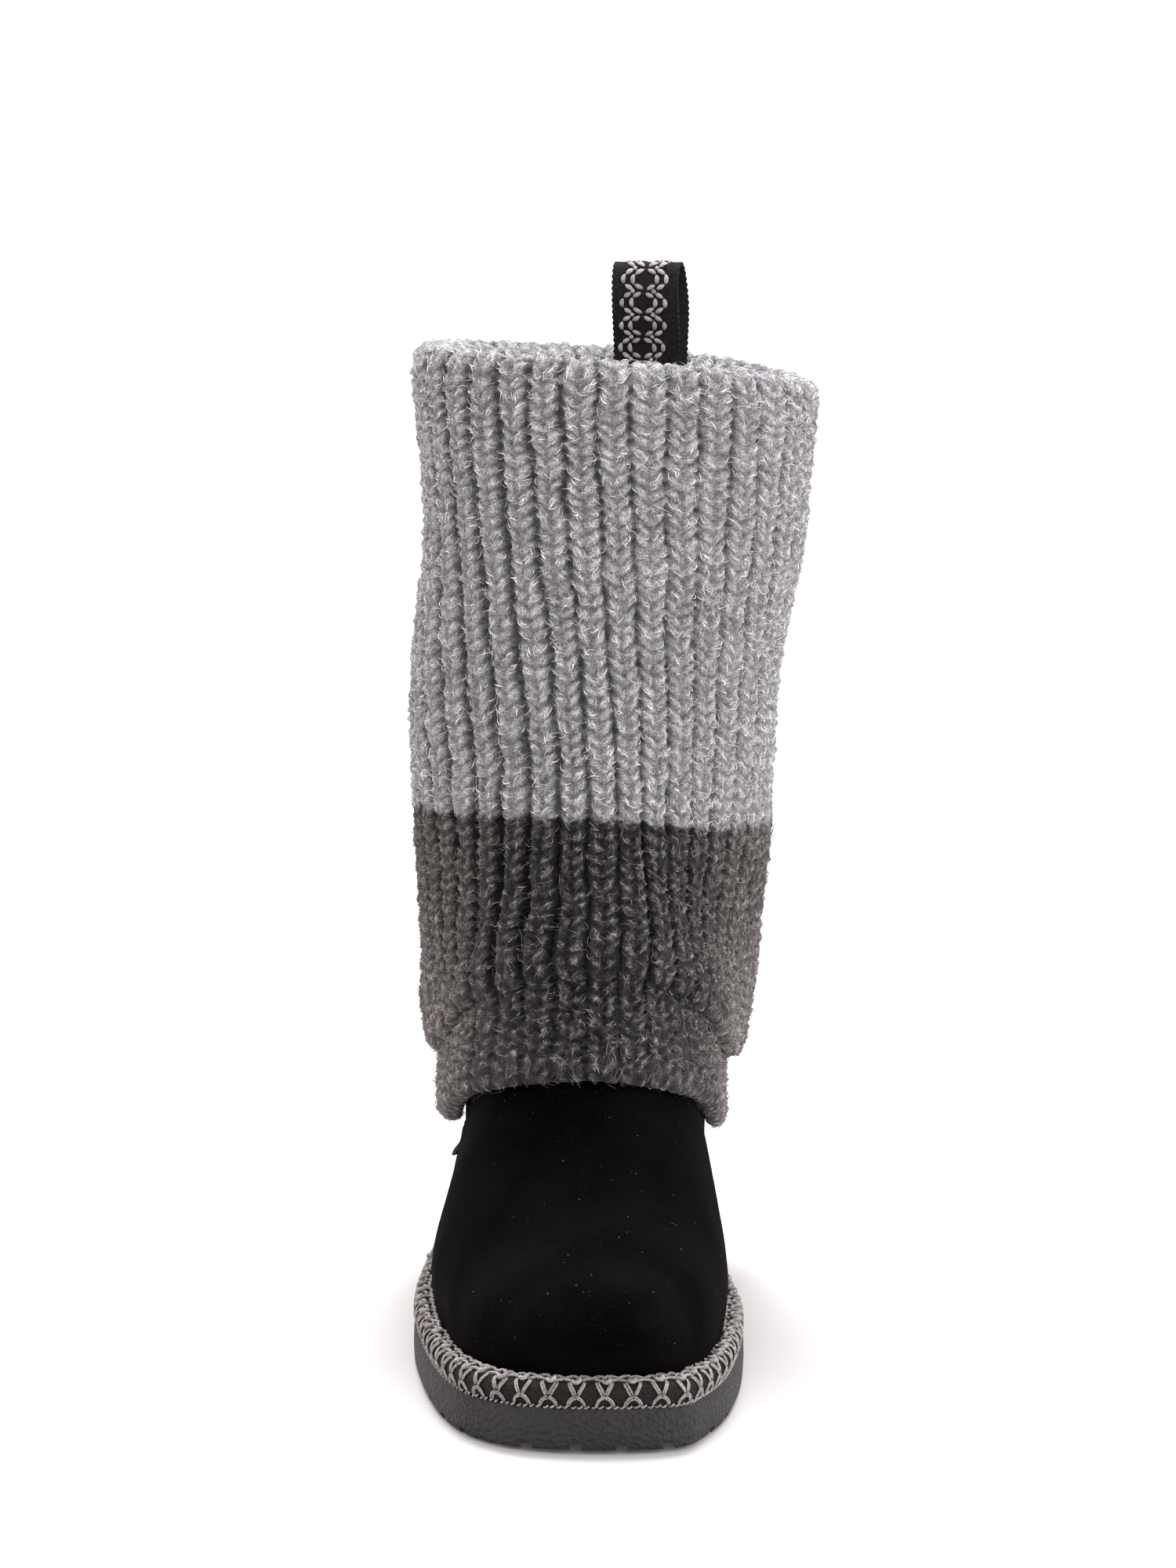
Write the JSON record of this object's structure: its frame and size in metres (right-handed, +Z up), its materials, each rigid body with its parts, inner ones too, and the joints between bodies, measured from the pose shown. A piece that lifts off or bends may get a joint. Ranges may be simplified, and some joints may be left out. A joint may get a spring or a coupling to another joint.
{
  "type": "suede boot with a rib-knit shaft",
  "caption": "Right pull-on boot with a low suede foot, a tall ribbed knit shaft rolled over the collar, a woven trim over the welt, a grained lugged sole and a ribbon pull loop.",
  "frame": {"origin": "on the ground, on the flat heel tread under the shaft's axis", "axes": "+Z up along the shaft, toe towards -Y, medial side towards +X"},
  "size_m": [0.1351, 0.281, 0.344],
  "materials": {
    "sole_rubber": "fine grained, matt charcoal",
    "footbed": "short black fleece",
    "suede": "black suede with a short nap, black textile lining inside",
    "braid": "light grey chain yarns on a black band",
    "knit": "chunky brushed rib knit, light grey above and charcoal below",
    "ribbon": "black ribbon with light grey chain embroidery",
    "label": "plain dark brown, bare"
  },
  "bodies": {
    "root": {"outsole": "sole_rubber", "insole": "footbed", "upper": "suede", "trim_band": "braid", "knit_shaft": "knit", "pull_loop": "ribbon", "side_label": "label"}
  },
  "joints": []
}
